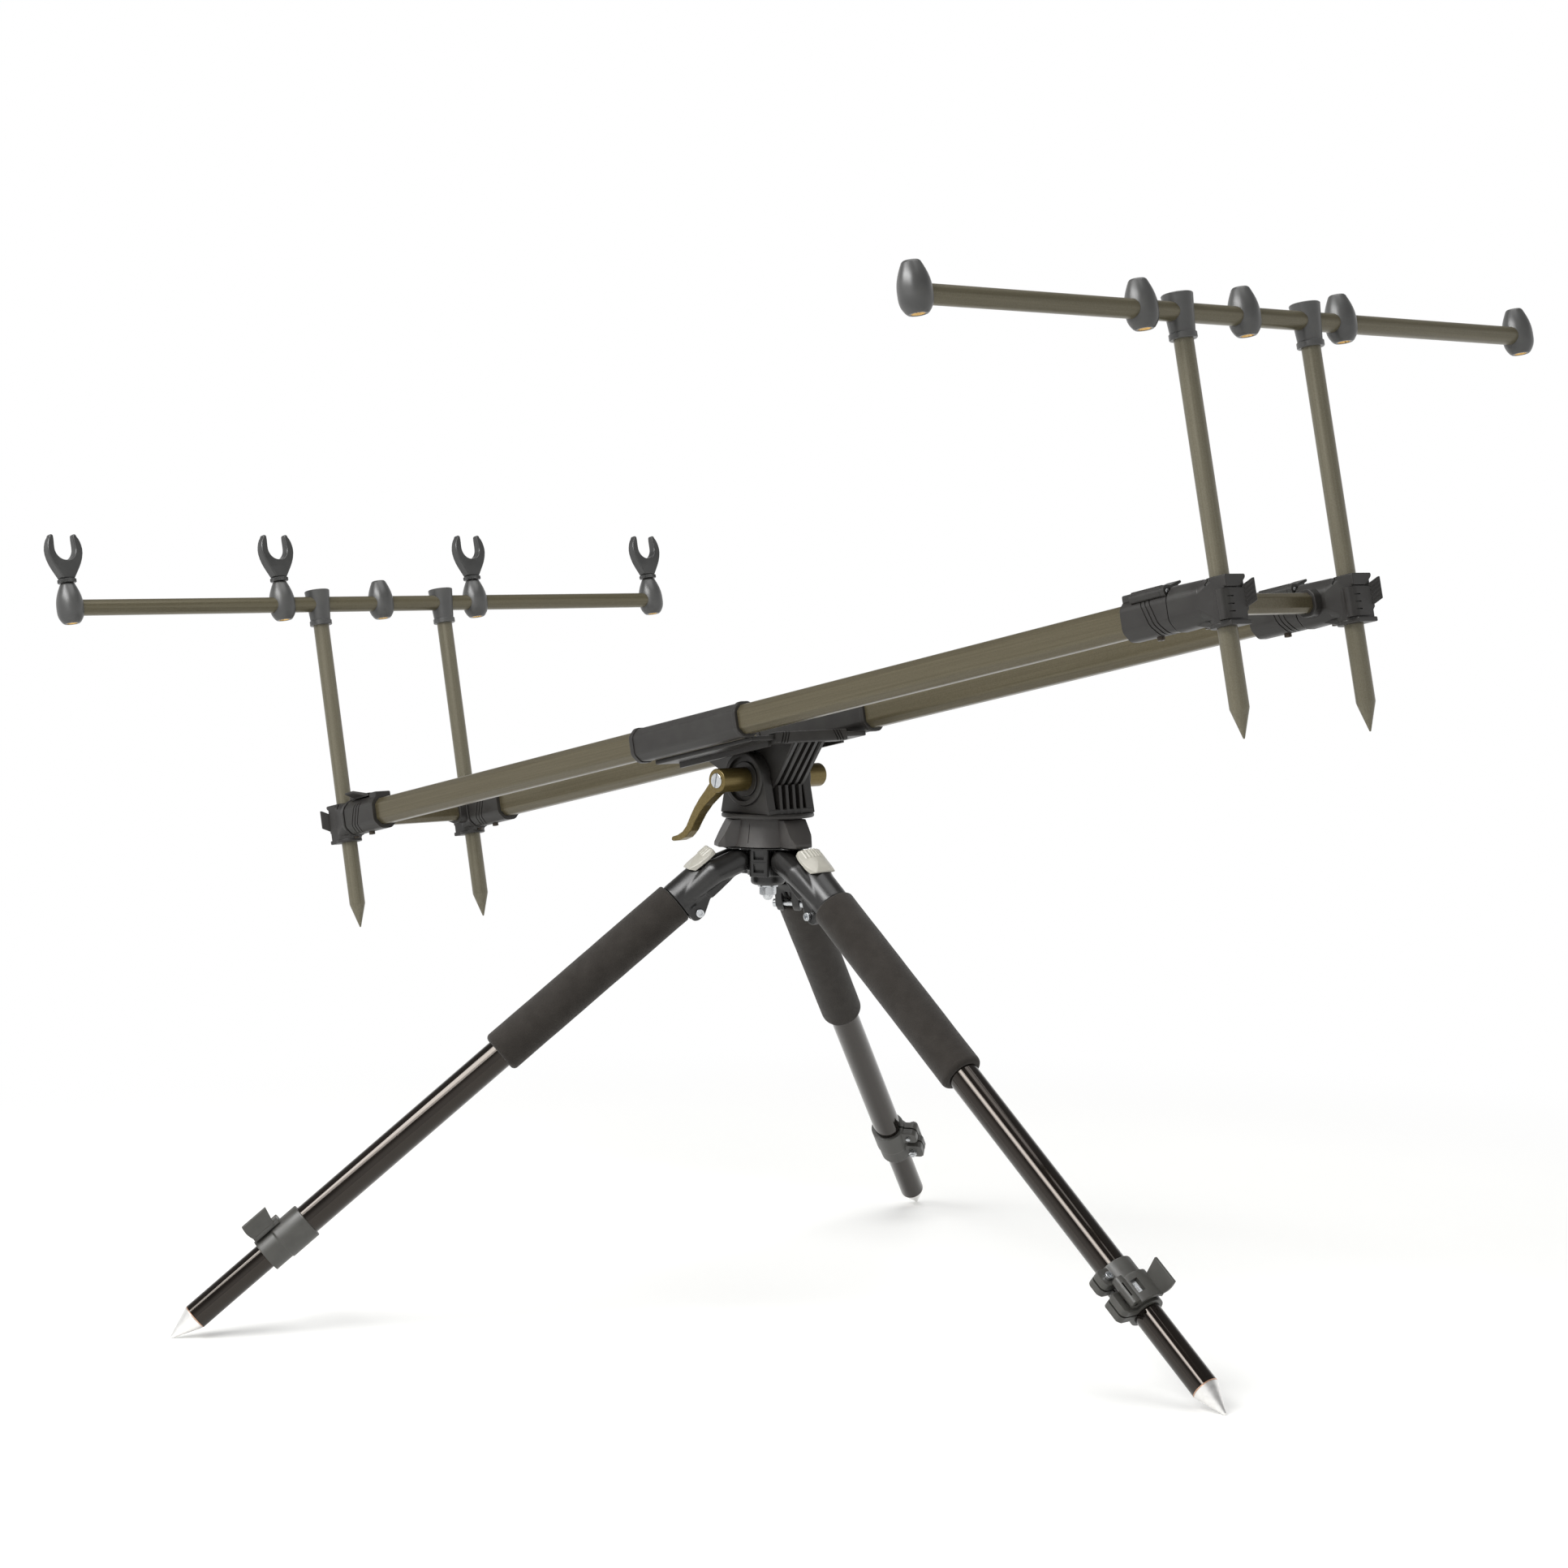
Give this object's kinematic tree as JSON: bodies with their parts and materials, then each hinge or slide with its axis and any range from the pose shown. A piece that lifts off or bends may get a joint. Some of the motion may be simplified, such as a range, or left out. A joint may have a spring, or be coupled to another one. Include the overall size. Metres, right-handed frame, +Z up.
{
  "type": "rod pod",
  "caption": "Tripod rod pod: a swivel and tilt head carries twin telescopic rails, sliding sticks and wide bars with threaded stations and open rod rests.",
  "frame": {"origin": "on the ground under the swivel axis, in the plane of the three spike tips", "axes": "+X along the rails towards the high front bar and over one leg, +Y along the bars, +Z up"},
  "size_m": [1.2484, 0.957, 0.9202],
  "materials": {
    "olive_aluminium": "satin olive anodised and lacquered aluminium tube",
    "black_tube": "gloss black coated aluminium tube",
    "grey_plastic": "fine grained dark grey glass-filled nylon",
    "black_plastic": "fine grained black nylon",
    "pale_plastic": "satin pale grey moulded plastic",
    "foam": "closed-cell black foam",
    "zinc_steel": "bright zinc plated steel",
    "bare_aluminium": "turned bare aluminium",
    "brass": "turned brass"
  },
  "bodies": {
    "tripod_head": {"leg_hub": "black_plastic", "hub_bolts": "zinc_steel", "head_base": "grey_plastic"},
    "left_leg": {"left_leg_yoke": "black_plastic", "left_upper_tube": "black_tube", "left_foam_grip": "foam", "left_lock_collar": "black_plastic", "left_leg_screws": "zinc_steel"},
    "left_angle_catch": {"left_angle_tab": "pale_plastic"},
    "left_leg_lock": {"left_lock_lever": "black_plastic"},
    "left_lower_leg": {"left_lower_tube": "black_tube", "left_spike_foot": "bare_aluminium"},
    "right_leg": {"right_leg_yoke": "black_plastic", "right_upper_tube": "black_tube", "right_foam_grip": "foam", "right_lock_collar": "black_plastic", "right_leg_screws": "zinc_steel"},
    "right_angle_catch": {"right_angle_tab": "pale_plastic"},
    "right_leg_lock": {"right_lock_lever": "black_plastic"},
    "right_lower_leg": {"right_lower_tube": "black_tube", "right_spike_foot": "bare_aluminium"},
    "rear_leg": {"rear_leg_yoke": "black_plastic", "rear_upper_tube": "black_tube", "rear_foam_grip": "foam", "rear_lock_collar": "black_plastic", "rear_leg_screws": "zinc_steel"},
    "rear_angle_catch": {"rear_angle_tab": "pale_plastic"},
    "rear_leg_lock": {"rear_lock_lever": "black_plastic"},
    "rear_lower_leg": {"rear_lower_tube": "black_tube", "rear_spike_foot": "bare_aluminium"},
    "swivel": {"swivel_yoke": "grey_plastic", "tilt_bolt": "olive_aluminium"},
    "tilt_clamp": {"clamp_lever": "olive_aluminium"},
    "beam": {"saddle": "grey_plastic", "rails": "olive_aluminium", "rail_collars": "grey_plastic"},
    "front_carriage": {"front_slide_tubes": "olive_aluminium", "front_end_blocks": "grey_plastic"},
    "front_goal_post": {"front_sticks": "olive_aluminium", "front_buzz_bar": "olive_aluminium", "front_bar_fittings": "grey_plastic", "front_inserts": "brass"},
    "front_near_rail_lock": {"front_near_rail_lever": "grey_plastic"},
    "front_near_stick_lock": {"front_near_stick_lever": "grey_plastic"},
    "front_far_rail_lock": {"front_far_rail_lever": "grey_plastic"},
    "front_far_stick_lock": {"front_far_stick_lever": "grey_plastic"},
    "rear_carriage": {"rear_slide_tubes": "olive_aluminium", "rear_end_blocks": "grey_plastic"},
    "rear_goal_post": {"rear_sticks": "olive_aluminium", "rear_buzz_bar": "olive_aluminium", "rear_bar_fittings": "grey_plastic", "rear_inserts": "brass"},
    "rear_near_rail_lock": {"rear_near_rail_lever": "grey_plastic"},
    "rear_near_stick_lock": {"rear_near_stick_lever": "grey_plastic"},
    "rear_far_rail_lock": {"rear_far_rail_lever": "grey_plastic"},
    "rear_far_stick_lock": {"rear_far_stick_lever": "grey_plastic"},
    "rest_1": {"rod_rest_1": "grey_plastic"},
    "rest_2": {"rod_rest_2": "grey_plastic"},
    "rest_3": {"rod_rest_3": "grey_plastic"},
    "rest_4": {"rod_rest_4": "grey_plastic"}
  },
  "joints": [
    {"name": "left_leg_fold", "type": "hinge", "parent": "tripod_head", "child": "left_leg", "pos_m": [-0.0155, -0.02685, 0.42186], "axis": [0.866, -0.5, 0], "range_deg": [0, 48]},
    {"name": "left_angle_pull", "type": "slide", "parent": "left_leg", "child": "left_angle_catch", "axis": [-0.3855, -0.6677, -0.6369], "range_m": [0, 0.006], "stiffness_N_per_m": 300, "springref_m": -0.003},
    {"name": "left_lock_flip", "type": "hinge", "parent": "left_leg", "child": "left_leg_lock", "pos_m": [-0.24987, -0.38978, 0.09161], "axis": [-0.3855, -0.6677, -0.6369], "range_deg": [0, 110]},
    {"name": "left_leg_extend", "type": "slide", "parent": "left_leg", "child": "left_lower_leg", "axis": [-0.3855, -0.6677, -0.6369], "range_m": [-0.07, 0.28]},
    {"name": "right_leg_fold", "type": "hinge", "parent": "tripod_head", "child": "right_leg", "pos_m": [0.031, 0, 0.42186], "axis": [0, 1, 0], "range_deg": [0, 48]},
    {"name": "right_angle_pull", "type": "slide", "parent": "right_leg", "child": "right_angle_catch", "axis": [0.771, 0, -0.6369], "range_m": [0, 0.006], "stiffness_N_per_m": 300, "springref_m": -0.003},
    {"name": "right_lock_flip", "type": "hinge", "parent": "right_leg", "child": "right_leg_lock", "pos_m": [0.46249, -0.0215, 0.09161], "axis": [0.771, 0, -0.6369], "range_deg": [0, 110]},
    {"name": "right_leg_extend", "type": "slide", "parent": "right_leg", "child": "right_lower_leg", "axis": [0.771, 0, -0.6369], "range_m": [-0.07, 0.28]},
    {"name": "rear_leg_fold", "type": "hinge", "parent": "tripod_head", "child": "rear_leg", "pos_m": [-0.0155, 0.02685, 0.42186], "axis": [-0.866, -0.5, 0], "range_deg": [0, 48]},
    {"name": "rear_angle_pull", "type": "slide", "parent": "rear_leg", "child": "rear_angle_catch", "axis": [-0.3855, 0.6677, -0.6369], "range_m": [0, 0.006], "stiffness_N_per_m": 300, "springref_m": -0.003},
    {"name": "rear_lock_flip", "type": "hinge", "parent": "rear_leg", "child": "rear_leg_lock", "pos_m": [-0.21263, 0.41128, 0.09161], "axis": [-0.3855, 0.6677, -0.6369], "range_deg": [0, 110]},
    {"name": "rear_leg_extend", "type": "slide", "parent": "rear_leg", "child": "rear_lower_leg", "axis": [-0.3855, 0.6677, -0.6369], "range_m": [-0.07, 0.28]},
    {"name": "head_swivel", "type": "hinge", "parent": "tripod_head", "child": "swivel", "pos_m": [0, 0, 0.46206], "axis": [0, 0, 1], "continuous": true},
    {"name": "clamp_turn", "type": "hinge", "parent": "swivel", "child": "tilt_clamp", "pos_m": [0, -0.05, 0.49806], "axis": [0, 1, 0], "range_deg": [0, 30]},
    {"name": "beam_tilt", "type": "hinge", "parent": "swivel", "child": "beam", "pos_m": [0, 0, 0.49806], "axis": [0, -1, 0], "range_deg": [-11.7, 10]},
    {"name": "front_rail_extend", "type": "slide", "parent": "beam", "child": "front_carriage", "axis": [0.9792, 0, 0.2028], "range_m": [0, 0.25]},
    {"name": "front_stick_height", "type": "slide", "parent": "front_carriage", "child": "front_goal_post", "axis": [-0.2028, 0, 0.9792], "range_m": [-0.15, 0.06]},
    {"name": "front_near_rail_lock_flip", "type": "hinge", "parent": "beam", "child": "front_near_rail_lock", "pos_m": [0.53983, -0.0915, 0.67256], "axis": [0.9792, 0, 0.2028], "range_deg": [0, 95]},
    {"name": "front_near_stick_lock_flip", "type": "hinge", "parent": "front_carriage", "child": "front_near_stick_lock", "pos_m": [0.61761, -0.092, 0.66681], "axis": [0.2028, 0, -0.9792], "range_deg": [0, 95]},
    {"name": "front_far_rail_lock_flip", "type": "hinge", "parent": "beam", "child": "front_far_rail_lock", "pos_m": [0.53983, 0.0685, 0.67256], "axis": [0.9792, 0, 0.2028], "range_deg": [0, 95]},
    {"name": "front_far_stick_lock_flip", "type": "hinge", "parent": "front_carriage", "child": "front_far_stick_lock", "pos_m": [0.61761, 0.068, 0.66681], "axis": [0.2028, 0, -0.9792], "range_deg": [0, 95]},
    {"name": "rear_rail_extend", "type": "slide", "parent": "beam", "child": "rear_carriage", "axis": [-0.9792, 0, -0.2028], "range_m": [0, 0.25]},
    {"name": "rear_stick_height", "type": "slide", "parent": "rear_carriage", "child": "rear_goal_post", "axis": [-0.2028, 0, 0.9792], "range_m": [-0.15, 0.06]},
    {"name": "rear_near_rail_lock_flip", "type": "hinge", "parent": "beam", "child": "rear_near_rail_lock", "pos_m": [-0.51577, -0.0685, 0.45395], "axis": [-0.9792, 0, -0.2028], "range_deg": [0, 95]},
    {"name": "rear_near_stick_lock_flip", "type": "hinge", "parent": "rear_carriage", "child": "rear_near_stick_lock", "pos_m": [-0.55844, -0.068, 0.42326], "axis": [0.2028, 0, -0.9792], "range_deg": [0, 95]},
    {"name": "rear_far_rail_lock_flip", "type": "hinge", "parent": "beam", "child": "rear_far_rail_lock", "pos_m": [-0.51577, 0.0915, 0.45395], "axis": [-0.9792, 0, -0.2028], "range_deg": [0, 95]},
    {"name": "rear_far_stick_lock_flip", "type": "hinge", "parent": "rear_carriage", "child": "rear_far_stick_lock", "pos_m": [-0.55844, 0.092, 0.42326], "axis": [0.2028, 0, -0.9792], "range_deg": [0, 95]},
    {"name": "rest_1_turn", "type": "hinge", "parent": "rear_goal_post", "child": "rest_1", "pos_m": [-0.60162, -0.375, 0.67616], "axis": [-0.2028, 0, 0.9792], "range_deg": [-90, 90]},
    {"name": "rest_2_turn", "type": "hinge", "parent": "rear_goal_post", "child": "rest_2", "pos_m": [-0.60162, -0.125, 0.67616], "axis": [-0.2028, 0, 0.9792], "range_deg": [-90, 90]},
    {"name": "rest_3_turn", "type": "hinge", "parent": "rear_goal_post", "child": "rest_3", "pos_m": [-0.60162, 0.125, 0.67616], "axis": [-0.2028, 0, 0.9792], "range_deg": [-90, 90]},
    {"name": "rest_4_turn", "type": "hinge", "parent": "rear_goal_post", "child": "rest_4", "pos_m": [-0.60162, 0.375, 0.67616], "axis": [-0.2028, 0, 0.9792], "range_deg": [-90, 90]}
  ]
}
